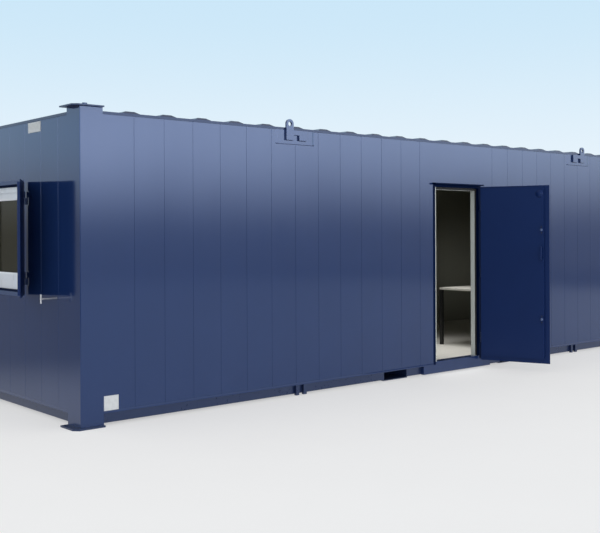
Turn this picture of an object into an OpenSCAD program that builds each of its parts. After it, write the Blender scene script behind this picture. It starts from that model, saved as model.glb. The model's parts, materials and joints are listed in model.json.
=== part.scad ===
// Portable steel site cabin with corner posts, grooved steel walls, a ribbed roof,
// lifting lugs, fork pockets, an outward door and shuttered end windows.
// The origin is the outer corner of the front left post, on the ground.
// X runs along the front to the right, Y to the back and Z up.

/* [Cabin] */
// Length over the corner posts
cabin_l = 9750; // [8600:10:12200]
// Width over the corner posts
cabin_w = 3210; // [2900:10:3700]
// Height of the wall panels above the door frame
wall_h = 462; // [390:1:700]

/* [Base frame] */
// Height of the base rails above the ground
rail_clear = 20; // [16:1:60]
// Height of the base rails
rail_h = 91; // [80:1:160]
// Depth of the base rails behind the wall face
rail_set = 40; // [36:1:60]
// Thickness of the base rails' steel
rail_t = 6; // [3:0.5:10]
// Distance between the middles of the two fork pockets
fork_pitch = 2050; // [1700:10:2400]
// Clear width of a fork pocket
fork_w = 360; // [250:5:420]
// Thickness of the plates of a fork pocket
fork_plate = 8; // [5:1:12]
// Drop of a fork pocket below the base rails
fork_drop = 12; // [4:1:14]
// Distance from the cabin's end to the middle of a rail bracket
bracket_inset = 2450; // [1200:10:2600]
// Width of each cheek of a rail bracket
bracket_w = 40; // [25:1:55]
// Gap between the two cheeks of a rail bracket
bracket_gap = 60; // [40:1:90]
// Depth of a rail bracket in front of the rail
bracket_d = 30; // [15:1:34]
// Drop of a rail bracket below the base rails
bracket_drop = 14; // [2:1:15]
// Width of a floor joist
joist_w = 50; // [30:1:80]
// Height of a floor joist
joist_h = 60; // [40:1:75]
// Distance between floor joists
joist_pitch = 600; // [400:10:900]
// Thickness of the floor deck
deck_t = 24; // [15:1:30]
// Thickness of the floor covering
cover_t = 4; // [2:0.5:6]

/* [Corner posts] */
// Width of a post along the front
post_l = 216; // [170:1:260]
// Width of a post along the end
post_w = 234; // [170:1:260]
// Bevel along the outer edge of a post
post_bend = 6; // [2:1:15]
// Rise of the posts above the roof edge
post_rise = 38; // [34:1:90]
// Thickness of the plate under a post
foot_t = 15; // [8:1:16]
// Thickness of the plate on top of a post
cap_t = 12; // [8:1:20]
// Reach of the post plates past the cabin's end
plate_out_end = 70; // [20:1:90]
// Reach of the post plates past the cabin's side
plate_out_side = 30; // [10:1:60]
// Cut across the outer corner of a post plate
plate_cut = 45; // [10:1:70]
// Radius of a stacking pin
pin_r = 22; // [15:1:35]
// Height of a stacking pin
pin_h = 30; // [12:1:40]

/* [Walls] */
// Thickness of the steel wall panels with their insulation
wall_t = 88; // [70:1:120]
// Thickness of the inner lining
lining_t = 12; // [6:1:18]
// Depth of the wall face behind the post face
wall_set = 8; // [7:1:20]
// Width of a wall groove
groove_w = 4; // [4:1:20]
// Depth of a wall groove
groove_d = 2; // [2:1:10]
// Distance between the grooves of the long walls
side_pitch = 308; // [250:1:400]
// Distance between the grooves of the end walls
end_pitch = 339; // [250:1:400]
// Height of the drip fold along the foot of a wall
lip_h = 18; // [10:1:30]
// Reach of the drip fold in front of the wall
lip_out = 6; // [2:0.5:7]
// Height of the edge rail along the top of a wall
top_rail_h = 18; // [12:1:40]
// Reach of the edge rail in front of the wall
top_rail_out = 4; // [0:0.5:7]
// Height of the inner lining above the door frame
lining_h = 300; // [200:1:360]

/* [Roof] */
// Thickness of the roof sheet
roof_t = 6; // [3:1:8]
// Distance between roof ribs
rib_pitch = 380; // [300:5:460]
// Width of a roof rib at its foot
rib_w = 190; // [120:5:240]
// Width of a roof rib at its crown
rib_top = 90; // [40:5:110]
// Height of a roof rib above the sheet
rib_h = 22; // [10:1:26]
// Length of the slope at each end of a roof rib
rib_end = 26; // [20:1:120]
// Distance from the wall face to the end of a roof rib
rib_inset = 8; // [4:1:60]
// Thickness of the ceiling panel
ceiling_t = 12; // [6:1:20]

/* [Lifting lugs] */
// Distance from the cabin's end to the middle of a lifting eye
lug_inset = 2285; // [1500:5:2600]
// Width of a lug at its eye
lug_w = 94; // [80:1:140]
// Radius of a lifting eye's hole
eye_r = 23; // [15:1:30]
// Height of the eye's centre above the roof edge
eye_rise = 43; // [36:1:70]
// Depth of a lug's feet below the roof edge
lug_drop = 117; // [90:1:140]
// Width of a lug's second foot
foot_w = 98; // [60:1:130]
// Width of the notch between a lug's feet
notch_w = 74; // [40:1:100]
// Height of the notch between a lug's feet
notch_h = 52; // [20:1:70]
// Thickness of a lug
lug_t = 20; // [12:1:30]
// Length of the doubler plate behind a lug
pad_l = 500; // [400:5:700]
// Height of the doubler plate behind a lug
pad_h = 137; // [110:1:240]
// Thickness of the doubler plate behind a lug
pad_t = 6; // [4:0.5:7]
// Length of the taper at each end of the doubler plate
pad_taper = 30; // [10:1:60]

/* [Door] */
// Width over the door frame
frame_w = 870; // [780:1:1100]
// Height of the door frame above the base rails
frame_h = 2089; // [1950:1:2200]
// Face width of the door frame
jamb_w = 42; // [34:1:60]
// Width of the stop that the inner frame shows inside the door frame
stop_w = 30; // [15:1:40]
// Length of the sill panel under the door
sill_l = 1200; // [1150:5:1500]
// Depth of the sill panel below the base rails
sill_drop = 5; // [0:1:12]
// Height of the threshold above the base rails
threshold_h = 36; // [32:1:50]
// Overlap of the door leaf on its frame at the hinges
lap_hinge = 8; // [5:1:20]
// Overlap of the door leaf on its frame at the lock
lap_lock = 34; // [15:1:36]
// Overlap of the door leaf on its frame at the head
lap_top = 18; // [8:1:30]
// Drop of the door leaf below the top of the threshold
lap_foot = 47; // [10:1:60]
// Gap between the shut leaf and the frame face
leaf_gap = 6; // [5:0.5:10]
// Thickness of the leaf's outer plate with its folded edge
plate_t = 10; // [4:1:14]
// Width of the closing strip of the inner frame at the lock
strip_w = 16; // [12:1:40]
// Depth of the closing strip of the inner frame behind the wall face
strip_set = 4; // [2:1:10]
// Depth of the leaf's inner pan
pan_t = 34; // [25:1:34]
// Clearance round the leaf's inner pan
pan_clear = 8; // [8:1:16]
// Opening angle of the door at rest
door_open = 110; // [0:1:170]
// Reach of the rain strip in front of the wall
rain_out = 50; // [30:1:70]
// Height of the rain strip's front edge
rain_h = 16; // [10:1:30]
// Gap between the door leaf and the rain strip above it
rain_gap = 10; // [6:1:20]
// Thickness of the rain strip
rain_t = 4; // [2:0.5:6]

/* [Door gear] */
// Radius of a hinge knuckle
knuckle_r = 9; // [8:0.5:11]
// Length of one half of a hinge
knuckle_h = 60; // [40:1:90]
// Radius of a hinge pin
hinge_pin_r = 5; // [3:0.5:6]
// Clearance between a hinge pin and its bore
pin_clear = 0.3; // [0.2:0.05:0.5]
// Gap between the two halves of a hinge
hinge_gap = 1; // [0.5:0.1:2]
// Distance from the leaf's edge to the hinge axis
hinge_side = 3; // [1:0.5:5]
// Distance from the leaf's face to the hinge axis
hinge_out = 4; // [3:0.5:6]
// Clearance of the notch in a leaf's edge round a hinge
notch_clear = 6; // [5:0.5:9]
// Length of a hinge strap on the leaf
strap_l = 60; // [40:1:100]
// Thickness of a hinge strap
strap_t = 6; // [4:0.5:8]
// Distance from the edge of the leaf's pan to its gear
gear_in = 3; // [1:1:20]
// Radius of the domed bolt cover
dome_r = 45; // [30:1:60]
// Height of the domed bolt cover
dome_h = 24; // [12:1:30]
// Depth of the upper lock below the head of the doorway
lock_high = 471; // [300:1:600]
// Height of the lower lock above the threshold
lock_low = 470; // [300:5:700]
// Width of a lock plate
lock_w = 44; // [30:1:70]
// Length of a lock plate
lock_h = 90; // [60:1:140]
// Thickness of a lock plate
lock_t = 8; // [4:1:16]
// Depth of the middle of the pull handle below the upper lock
pull_mid = 273; // [200:1:400]
// Length of the pull handle
pull_h = 158; // [120:1:240]
// Radius of the pull handle's bar
pull_r = 9; // [6:0.5:12]
// Reach of the pull handle from the leaf
pull_out = 45; // [35:1:60]

/* [Windows] */
// Width of a window opening
win_w = 984; // [800:1:1040]
// Height of a window opening
win_h = 1013; // [800:1:1100]
// Height of the foot of a window opening above the base rails
win_foot = 984; // [800:1:1100]
// Face width of the steel surround inside the opening
surround_w = 20; // [15:1:45]
// Depth of the steel surround behind the wall face
surround_set = 22; // [5:1:40]
// Depth of the window frame behind the wall face
win_set = 38; // [30:1:60]
// Depth of the window frame
win_d = 50; // [40:1:50]
// Face width of the window frame
win_bar = 52; // [40:1:80]
// Extra height of the window frame at its foot
win_sill = 30; // [0:1:50]
// Face width of the window's sash
sash_bar = 56; // [30:1:80]
// Depth of the sash in front of the frame's back
sash_d = 36; // [25:1:39]
// Thickness of the glass
glass_t = 20; // [6:1:22]

/* [Shutters] */
// Overlap of the shutters on the wall at their hinges
shutter_lap = 40; // [20:1:60]
// Overlap of the shutters on the wall above and below the opening
shutter_lap_v = 14; // [8:1:40]
// Gap between the two shutters
shutter_meet = 8; // [6:0.5:14]
// Gap between a shut shutter and the wall
shutter_gap = 7; // [6:0.5:12]
// Thickness of a shutter's sheet
shutter_skin = 3; // [2:0.5:6]
// Depth of the stiffening rim behind a shutter's sheet
rim_t = 22; // [12:1:23]
// Clearance of the stiffening rim inside the window opening
rim_clear = 10; // [8:1:30]
// Opening angle of the shutters at rest
shutter_open = 152; // [0:1:170]
// Distance from a shutter's edge to its hinge axis
shutter_side = 3; // [1:0.5:5]
// Distance from a shutter's face to its hinge axis
shutter_out = 3; // [2:0.5:5]
// Radius of a shutter's hinge knuckle
shutter_knuckle = 6; // [5:0.5:7]
// Radius of a shutter's hinge pin
shutter_pin = 3; // [2:0.5:3.5]
// Distance of a shutter hinge from the shutter's end
shutter_hinge_end = 150; // [110:5:300]
// Distance from a corner post to a hold back bolt
bolt_inset = 217; // [100:1:230]
// Reach of a hold back bolt in front of the wall
bolt_out = 155; // [100:1:200]
// Radius of a hold back bolt
bolt_r = 8; // [5:0.5:12]
// Length of a hold back bolt's cross bar
bolt_bar = 80; // [50:1:120]

/* [Table] */
// Distance from the door frame to the table
table_gap = 500; // [200:10:800]
// Distance from the front lining to the table
table_set = 190; // [20:10:300]
// Length of the table
table_l = 1200; // [900:10:1600]
// Width of the table
table_w = 800; // [600:10:900]
// Height of the table above the floor
table_h = 755; // [680:5:800]
// Thickness of the table top
table_t = 25; // [18:1:40]
// Width of a table leg
leg_w = 40; // [25:1:60]

/* [Hidden] */
$fn = 48;
cut = 1;
base_z = rail_clear + rail_h;
frame_top_z = base_z + frame_h;
wall_top_z = frame_top_z + wall_h;
roof_z = wall_top_z + top_rail_h;
post_top_z = roof_z + post_rise;
wall_in = wall_set + wall_t;
room_in = wall_in + lining_t;
rail_face = wall_set + rail_set;
floor_z = base_z + deck_t + cover_t;
ceiling_z = frame_top_z + lining_h;
mid_x = cabin_l / 2;
mid_y = cabin_w / 2;

// Door places, with the leaf shut
frame_x0 = mid_x - frame_w / 2;
frame_x1 = mid_x + frame_w / 2;
frame_back = rail_face;
rebate_x0 = frame_x0 + jamb_w;
rebate_x1 = frame_x1 - jamb_w;
rebate_top_z = frame_top_z - jamb_w;
way_x0 = rebate_x0 + strip_w;
way_x1 = rebate_x1 - stop_w;
way_top_z = rebate_top_z - stop_w;
threshold_z = base_z + threshold_h;
leaf_x0 = rebate_x0 - lap_lock;
leaf_x1 = rebate_x1 + lap_hinge;
leaf_z0 = threshold_z - lap_foot;
leaf_z1 = rebate_top_z + lap_top;
leaf_back = wall_set - leaf_gap;
leaf_face = leaf_back - plate_t;
pan_x0 = way_x0 + pan_clear;
pan_x1 = rebate_x1 - pan_clear;
pan_z0 = threshold_z + pan_clear;
pan_z1 = rebate_top_z - pan_clear;
pan_face = leaf_back + pan_t;
gear_x0 = pan_x0 + gear_in;
rain_z = leaf_z1 + rain_gap;
door_axis_x = leaf_x1 + hinge_side;
door_axis_y = leaf_face - hinge_out;
lock_z = [way_top_z - lock_high, threshold_z + lock_low];
door_hinge_z = [for (share = [0.1, 0.48, 0.86]) leaf_z0 + share * (leaf_z1 - leaf_z0)];

// Window and shutter places along an end wall, with the shutters shut
win_s0 = mid_y - win_w / 2;
win_z0 = base_z + win_foot;
win_z1 = win_z0 + win_h;
shutter_s0 = win_s0 - shutter_lap;
shutter_s1 = mid_y - shutter_meet / 2;
shutter_z0 = win_z0 - shutter_lap_v;
shutter_z1 = win_z1 + shutter_lap_v;
shutter_back = wall_set - shutter_gap;
shutter_face = shutter_back - shutter_skin;
rim_s0 = win_s0 + rim_clear;
rim_s1 = shutter_s1 - rim_clear;
rim_z0 = win_z0 + rim_clear;
rim_z1 = win_z1 - rim_clear;
shutter_axis_s = shutter_s0 - shutter_side;
shutter_axis_t = shutter_face - shutter_out;
shutter_hinge_z = [shutter_z0 + shutter_hinge_end - knuckle_h, shutter_z1 - shutter_hinge_end - knuckle_h];

// Fork pockets and rail brackets along the base
fork_x = [mid_x - fork_pitch / 2, mid_x + fork_pitch / 2];
fork_half = fork_w / 2 + fork_plate;
fork_z0 = rail_clear - fork_drop;
bracket_x = [bracket_inset, cabin_l - bracket_inset];

// Roof ribs between the posts
rib_n = 2 * floor((cabin_l / 2 - post_l - plate_out_end - rib_w / 2) / rib_pitch + 0.5);
rib_x = [for (i = [0 : rib_n - 1]) mid_x + (i - (rib_n - 1) / 2) * rib_pitch];

// Grooves, measured along each wall from the cabin's corner
half_n = floor((frame_x0 - post_l - side_pitch / 4) / side_pitch);
left_grooves = [for (i = [1 : half_n]) post_l + i * side_pitch];
right_grooves = [for (g = left_grooves) cabin_l - g];
end_n = floor((cabin_w / 2 - post_w) / end_pitch - 0.5);
end_grooves = [for (i = [0 : end_n], side = [-1, 1]) mid_y + side * (i + 0.5) * end_pitch];

steel_blue = [0.12, 0.17, 0.33];
steel_dark = [0.09, 0.13, 0.26];
pale_board = [0.85, 0.85, 0.82];
white_frame = [0.9, 0.91, 0.92];
bare_zinc = [0.7, 0.71, 0.72];
dark_glass = [0.2, 0.25, 0.25, 0.5];
floor_vinyl = [0.6, 0.58, 0.54];
floor_board = [0.55, 0.42, 0.28];

// Places children drawn for the front wall on each of the four sides
module at_front() { children(); }
module at_back() { translate([0, cabin_w, 0]) mirror([0, 1, 0]) children(); }
module at_left() { mirror([1, -1, 0]) children(); }
module at_right() { translate([cabin_l, 0, 0]) mirror([1, 0, 0]) mirror([1, -1, 0]) children(); }

// Repeats children at the other end, the other side or all four corners
module at_both_ends() {
    children();
    translate([cabin_l, 0, 0]) mirror([1, 0, 0]) children();
}
module at_both_sides() {
    at_front() children();
    at_back() children();
}
module at_end_walls() {
    at_left() children();
    at_right() children();
}

// Draws a block between two corners
module block(low, high) {
    translate(low) cube(high - low);
}

// Draws a bar along X from an outline in Y and Z
module bar_along(x0, x1, outline) {
    translate([x0, 0, 0]) rotate([90, 0, 90]) linear_extrude(x1 - x0) polygon(outline);
}

// Corner posts and their plates
module corner_post() {
    color(steel_blue)
        translate([0, 0, foot_t])
            linear_extrude(post_top_z - foot_t)
                polygon([[post_bend, 0], [post_l, 0], [post_l, wall_in], [wall_in, wall_in],
                    [wall_in, post_w], [0, post_w], [0, post_bend]]);
}
module post_plate(thickness) {
    linear_extrude(thickness)
        polygon([[plate_cut - plate_out_end, -plate_out_side], [post_l, -plate_out_side],
            [post_l, post_w], [-plate_out_end, post_w], [-plate_out_end, plate_cut - plate_out_side]]);
}
module corner_posts() { at_both_sides() at_both_ends() corner_post(); }
module post_plates() {
    color(steel_dark)
        at_both_sides() at_both_ends() {
            post_plate(foot_t);
            translate([0, 0, post_top_z]) post_plate(cap_t);
        }
}
module stacking_pins() {
    color(steel_blue)
        at_both_sides() at_both_ends()
            translate([post_l / 2, post_w / 2, post_top_z + cap_t]) cylinder(h = pin_h, r = pin_r);
}

// Base frame
module fork_slots() {
    for (x = fork_x)
        block([x - fork_half, -cut, 0], [x + fork_half, cabin_w + cut, base_z + cut]);
}
module box_rail(s0, s1) {
    difference() {
        block([s0, rail_face, rail_clear], [s1, room_in, base_z]);
        block([s0 - cut, rail_face + rail_t, rail_clear + rail_t],
            [s1 + cut, room_in - rail_t, base_z - rail_t]);
    }
}
module side_base_rail() {
    color(steel_dark)
        difference() {
            box_rail(post_l, cabin_l - post_l);
            fork_slots();
        }
}
module end_base_rail() {
    color(steel_dark) box_rail(post_w, cabin_w - post_w);
}
module side_base_rails() { at_both_sides() side_base_rail(); }
module end_base_rails() { at_end_walls() end_base_rail(); }
module fork_pocket_floors() {
    color(steel_dark)
        for (x = fork_x)
            block([x - fork_half, rail_face, fork_z0],
                [x + fork_half, cabin_w - rail_face, fork_z0 + fork_plate]);
}
module fork_pocket_cheeks() {
    color(steel_dark)
        for (x = fork_x, x0 = [x - fork_half, x + fork_w / 2])
            block([x0, rail_face, fork_z0 + fork_plate],
                [x0 + fork_plate, cabin_w - rail_face, base_z]);
}
module rail_brackets() {
    color(steel_dark)
        at_both_sides()
            for (x = bracket_x, x0 = [x - bracket_gap / 2 - bracket_w, x + bracket_gap / 2])
                block([x0, rail_face - bracket_d, rail_clear - bracket_drop],
                    [x0 + bracket_w, rail_face, base_z]);
}

// Floor
module floor_joists() {
    count = floor((cabin_l / 2 - post_l - joist_w) / joist_pitch);
    color(steel_dark)
        for (i = [-count : count]) {
            x = mid_x + i * joist_pitch;
            gaps = [for (f = fork_x) abs(x - f) - fork_half - joist_w / 2];
            if (min(gaps) > 0)
                block([x - joist_w / 2, room_in, base_z - joist_h],
                    [x + joist_w / 2, cabin_w - room_in, base_z]);
        }
}
module floor_deck() {
    color(floor_board)
        block([room_in, room_in, base_z], [cabin_l - room_in, cabin_w - room_in, base_z + deck_t]);
}
module floor_covering() {
    color(floor_vinyl)
        block([room_in, room_in, base_z + deck_t], [cabin_l - room_in, cabin_w - room_in, floor_z]);
}

// Walls, each drawn with its outer face at wall_set
module wall_panel(s0, s1, z0, grooves) {
    translate([0, 0, z0])
        linear_extrude(wall_top_z - z0)
            difference() {
                translate([s0, wall_set]) square([s1 - s0, wall_t]);
                for (g = grooves)
                    translate([g, wall_set])
                        polygon([[-groove_w / 2, -cut], [groove_w / 2, -cut], [groove_w / 2, 0],
                            [groove_w / 5, groove_d], [-groove_w / 5, groove_d], [-groove_w / 2, 0]]);
            }
}
module drip_fold(s0, s1) {
    bar_along(s0, s1, [[wall_set + cut, base_z], [wall_set - lip_out, base_z],
        [wall_set - lip_out, base_z + lip_h - lip_out], [wall_set, base_z + lip_h],
        [wall_set + cut, base_z + lip_h]]);
}
module standing_wall(s0, s1, grooves) {
    color(steel_blue) {
        wall_panel(s0, s1, base_z, grooves);
        drip_fold(s0, s1);
    }
}
module window_hole() {
    block([win_s0, -cut, win_z0], [win_s0 + win_w, room_in + cut, win_z1]);
}
module end_wall() {
    difference() {
        standing_wall(post_w, cabin_w - post_w, end_grooves);
        window_hole();
    }
}
module front_wall_left() { standing_wall(post_l, frame_x0, left_grooves); }
module front_wall_right() { standing_wall(frame_x1, cabin_l - post_l, right_grooves); }
module front_wall_over_door() {
    color(steel_blue) wall_panel(frame_x0, frame_x1, frame_top_z, []);
}
module back_wall() {
    at_back() standing_wall(post_l, cabin_l - post_l, concat(left_grooves, right_grooves));
}
module left_end_wall() { color(steel_blue) at_left() end_wall(); }
module right_end_wall() { color(steel_blue) at_right() end_wall(); }

// Linings
module front_lining() {
    color(pale_board)
        difference() {
            block([room_in, wall_in, base_z], [cabin_l - room_in, room_in, ceiling_z]);
            block([frame_x0, 0, base_z - cut], [frame_x1, room_in + cut, frame_top_z]);
        }
}
module back_lining() {
    color(pale_board)
        at_back() block([room_in, wall_in, base_z], [cabin_l - room_in, room_in, ceiling_z]);
}
module end_lining() {
    color(pale_board)
        difference() {
            block([wall_in, wall_in, base_z], [cabin_w - wall_in, room_in, ceiling_z]);
            window_hole();
        }
}
module end_linings() { at_end_walls() end_lining(); }

// Roof
module top_rails() {
    out = wall_set - top_rail_out;
    color(steel_dark) {
        at_both_sides() block([post_l, out, wall_top_z], [cabin_l - post_l, wall_in, roof_z]);
        at_end_walls() block([post_w, out, wall_top_z], [cabin_w - post_w, wall_in, roof_z]);
    }
}
module rib_outline() {
    for (x = rib_x)
        translate([x, 0])
            polygon([[-rib_w / 2, 0], [rib_w / 2, 0], [rib_w / 2, roof_t], [rib_top / 2, roof_t + rib_h],
                [-rib_top / 2, roof_t + rib_h], [-rib_w / 2, roof_t]]);
}
module roof_ribs() {
    foot = wall_set + rib_inset;
    crown_z = roof_z + roof_t + rib_h;
    intersection() {
        translate([0, cabin_w, roof_z]) rotate([90, 0, 0]) linear_extrude(cabin_w) rib_outline();
        bar_along(0, cabin_l, [[foot, roof_z], [cabin_w - foot, roof_z],
            [cabin_w - foot, roof_z + roof_t], [cabin_w - foot - rib_end, crown_z],
            [foot + rib_end, crown_z], [foot, roof_z + roof_t]]);
    }
}
module flat_roof() {
    edge = wall_set - top_rail_out;
    difference() {
        block([edge, edge, roof_z], [cabin_l - edge, cabin_w - edge, roof_z + roof_t]);
        at_both_sides() at_both_ends()
            block([-cut, -cut, roof_z - cut], [post_l, post_w, roof_z + roof_t + cut]);
    }
}
module roof_sheet() {
    color(steel_blue)
        difference() {
            union() {
                flat_roof();
                roof_ribs();
            }
            translate([0, 0, -roof_t]) roof_ribs();
        }
}
module ceiling_panel() {
    color(pale_board)
        block([wall_in, wall_in, ceiling_z], [cabin_l - wall_in, cabin_w - wall_in, ceiling_z + ceiling_t]);
}

// Lifting lugs, each drawn at the left end of the front
module lug_doubler() {
    half = pad_l / 2;
    color(steel_blue)
        translate([lug_inset + lug_w / 2 + notch_w / 2, wall_set, wall_top_z - pad_h])
            linear_extrude(pad_h)
                polygon([[-half, 0], [pad_taper - half, -pad_t], [half - pad_taper, -pad_t], [half, 0]]);
}
module lifting_lug() {
    foot_z = roof_z - lug_drop;
    eye_z = roof_z + eye_rise;
    body_top = wall_top_z - cut;
    half = lug_w / 2;
    color(steel_blue)
        translate([lug_inset, wall_set - pad_t, 0])
            rotate([90, 0, 0])
                linear_extrude(lug_t)
                    difference() {
                        union() {
                            translate([-half, foot_z]) square([lug_w, eye_z - foot_z]);
                            translate([0, eye_z]) circle(r = half);
                            translate([-half, foot_z + notch_h])
                                square([lug_w + notch_w + foot_w, body_top - foot_z - notch_h]);
                            translate([half + notch_w, foot_z]) square([foot_w, body_top - foot_z]);
                        }
                        translate([0, eye_z]) circle(r = eye_r);
                    }
}
module lug_doublers() { at_both_sides() at_both_ends() lug_doubler(); }
module lifting_lugs() { at_both_sides() at_both_ends() lifting_lug(); }

// Door frame
module door_sill() {
    color(steel_blue) {
        block([mid_x - sill_l / 2, wall_set, rail_clear - sill_drop],
            [mid_x + sill_l / 2, rail_face, base_z]);
        block([rebate_x0, wall_set, base_z - cut], [rebate_x1, frame_back, threshold_z]);
        block([way_x0, frame_back - cut, base_z], [way_x1, room_in, threshold_z]);
    }
}
module door_surround(y0, y1, x0, x1, top) {
    difference() {
        block([frame_x0, y0, base_z], [frame_x1, y1, frame_top_z]);
        block([x0, y0 - cut, base_z - cut], [x1, y1 + cut, top]);
    }
}
module door_frame() {
    color(steel_dark) door_surround(wall_set, frame_back, rebate_x0, rebate_x1, rebate_top_z);
}
module door_inner_frame() {
    color(white_frame) {
        door_surround(frame_back, room_in, way_x0, way_x1, way_top_z);
        block([rebate_x0, wall_set + strip_set, threshold_z], [way_x0, frame_back + cut, rebate_top_z]);
    }
}
module door_rain_strip() {
    tip = wall_set - rain_out;
    top = rain_z + rain_h;
    color(steel_blue)
        bar_along(frame_x0, frame_x1, [[wall_set, top], [wall_set, top + rain_t], [tip, top], [tip, rain_z],
            [tip + rain_t, rain_z], [tip + rain_t, top - rain_t]]);
}

// Hinge halves round an axis at the origin, with the leaf towards plus X and the wall towards plus Y
module hinge_seat(wall_y, knuckle, pin) {
    cylinder(h = knuckle_h, r = knuckle);
    cylinder(h = 2 * knuckle_h + hinge_gap, r = pin);
    block([-knuckle, 0, 0], [knuckle / 2, wall_y, knuckle_h]);
}
module hinge_strap(face_y, knuckle, pin) {
    translate([0, 0, knuckle_h + hinge_gap])
        difference() {
            union() {
                cylinder(h = knuckle_h, r = knuckle);
                block([0, face_y - strap_t, strap_t], [strap_l, face_y, knuckle_h - strap_t]);
            }
            translate([0, 0, -cut]) cylinder(h = knuckle_h + 2 * cut, r = pin + pin_clear);
        }
}
module hinge_notch(knuckle, depth) {
    reach = knuckle + notch_clear;
    block([-reach, 0, -notch_clear], [reach, depth, 2 * knuckle_h + hinge_gap + notch_clear]);
}

// Door leaf, drawn shut and turned about its hinge axis
module at_door_hinge() {
    translate([door_axis_x, door_axis_y, 0]) children();
}
module open_door() {
    at_door_hinge() rotate([0, 0, door_open]) translate([-door_axis_x, -door_axis_y, 0]) children();
}
module door_seats() {
    for (z = door_hinge_z)
        at_door_hinge() translate([0, 0, z]) mirror([1, 0, 0]) hinge_seat(wall_set - door_axis_y, knuckle_r, hinge_pin_r);
}
module door_hinge_straps() {
    color(steel_dark)
        open_door()
            for (z = door_hinge_z)
                at_door_hinge() translate([0, 0, z]) mirror([1, 0, 0]) hinge_strap(hinge_out, knuckle_r, hinge_pin_r);
}
module door_leaf() {
    color(steel_blue)
        open_door() {
            difference() {
                block([leaf_x0, leaf_face, leaf_z0], [leaf_x1, leaf_back, leaf_z1]);
                for (z = door_hinge_z)
                    at_door_hinge() translate([0, 0, z]) hinge_notch(knuckle_r, hinge_out + plate_t + cut);
            }
            block([pan_x0, leaf_back - cut, pan_z0], [pan_x1, pan_face, pan_z1]);
        }
}
module door_bolt_cover() {
    cap_r = (dome_r * dome_r + dome_h * dome_h) / (2 * dome_h);
    color(steel_blue)
        open_door()
            translate([gear_x0 + dome_r, pan_face, way_top_z - leaf_gap - dome_r])
                rotate([-90, 0, 0])
                    intersection() {
                        translate([0, 0, dome_h - cap_r]) sphere(r = cap_r);
                        cylinder(h = dome_h, r = dome_r);
                    }
}
module door_locks() {
    color(bare_zinc)
        open_door()
            for (z = lock_z)
                block([gear_x0, pan_face, z - lock_h / 2], [gear_x0 + lock_w, pan_face + lock_t, z + lock_h / 2]);
}
module pull_handle() {
    reach = pull_out - pull_r;
    for (z = [-1, 1])
        translate([0, 0, z * (pull_h / 2 - pull_r)])
            rotate([-90, 0, 0]) cylinder(h = reach, r = pull_r);
    translate([0, reach, -pull_h / 2]) cylinder(h = pull_h, r = pull_r);
}
module door_pulls() {
    x = gear_x0 + lock_w / 2;
    z = lock_z[0] - pull_mid;
    color(steel_dark)
        open_door() {
            translate([x, pan_face, z]) pull_handle();
            translate([x, leaf_face, z]) mirror([0, 1, 0]) pull_handle();
        }
}

// Windows, drawn in the front wall's frame for an end wall
module ring(inset, bar, t0, t1, foot = 0, inner_foot = 0) {
    difference() {
        block([win_s0 + inset, t0, win_z0 + inset + foot], [win_s0 + win_w - inset, t1, win_z1 - inset]);
        block([win_s0 + inset + bar, t0 - cut, win_z0 + inset + bar + inner_foot],
            [win_s0 + win_w - inset - bar, t1 + cut, win_z1 - inset - bar]);
    }
}
module window_surround() {
    color(steel_dark) ring(0, surround_w, wall_set + surround_set, room_in);
}
module window_frame() {
    back = wall_set + win_set + win_d;
    color(white_frame) {
        ring(surround_w, win_bar, wall_set + win_set, back, 0, win_sill);
        ring(surround_w + win_bar - cut, sash_bar + cut, back - sash_d, back, win_sill, win_sill);
    }
}
module window_pane() {
    inset = surround_w + win_bar + sash_bar;
    back = wall_set + win_set + win_d - (sash_d - glass_t) / 2;
    color(dark_glass)
        block([win_s0 + inset, back - glass_t, win_z0 + inset + win_sill],
            [win_s0 + win_w - inset, back, win_z1 - inset]);
}
module window_surrounds() { at_end_walls() window_surround(); }
module window_frames() { at_end_walls() window_frame(); }
module window_glass() { at_end_walls() window_pane(); }

// Shutters, drawn shut for the nearer half of an end window
module at_shutter_hinge() {
    translate([shutter_axis_s, shutter_axis_t, 0]) children();
}
module turn_shutter(angle) {
    at_shutter_hinge() rotate([0, 0, -angle]) translate([-shutter_axis_s, -shutter_axis_t, 0]) children();
}
module other_half() {
    translate([cabin_w, 0, 0]) mirror([1, 0, 0]) children();
}
module at_both_halves() {
    children();
    other_half() children();
}
module shutter_leaf() {
    bay = (rim_z1 - rim_z0 - shutter_skin) / 3;
    difference() {
        union() {
            block([shutter_s0, shutter_face, shutter_z0], [shutter_s1, shutter_back, shutter_z1]);
            block([rim_s0, shutter_face + shutter_skin / 2, rim_z0], [rim_s1, shutter_back + rim_t, rim_z1]);
        }
        for (i = [0 : 2])
            block([rim_s0 + shutter_skin, shutter_back, rim_z0 + shutter_skin + i * bay],
                [rim_s1 - shutter_skin, shutter_back + rim_t + cut, rim_z0 + (i + 1) * bay]);
        for (z = shutter_hinge_z)
            at_shutter_hinge() translate([0, 0, z]) hinge_notch(shutter_knuckle, shutter_out + shutter_skin + cut);
    }
}
module shutter() {
    color(steel_blue) {
        shutter_leaf();
        for (z = shutter_hinge_z)
            at_shutter_hinge() translate([0, 0, z]) hinge_strap(shutter_out, shutter_knuckle, shutter_pin);
    }
}
module shutter_seats() {
    at_both_halves()
        for (z = shutter_hinge_z)
            at_shutter_hinge() translate([0, 0, z])
                hinge_seat(wall_set - shutter_axis_t, shutter_knuckle, shutter_pin);
}
module hinge_seats() {
    color(steel_dark) {
        door_seats();
        at_left() shutter_seats();
    }
}
module left_shutter_front() { at_left() turn_shutter(shutter_open) shutter(); }
module left_shutter_back() { at_left() other_half() turn_shutter(shutter_open) shutter(); }
module right_shutters() { at_right() at_both_halves() shutter(); }
module right_shutter_seats() { color(steel_dark) at_right() shutter_seats(); }
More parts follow.
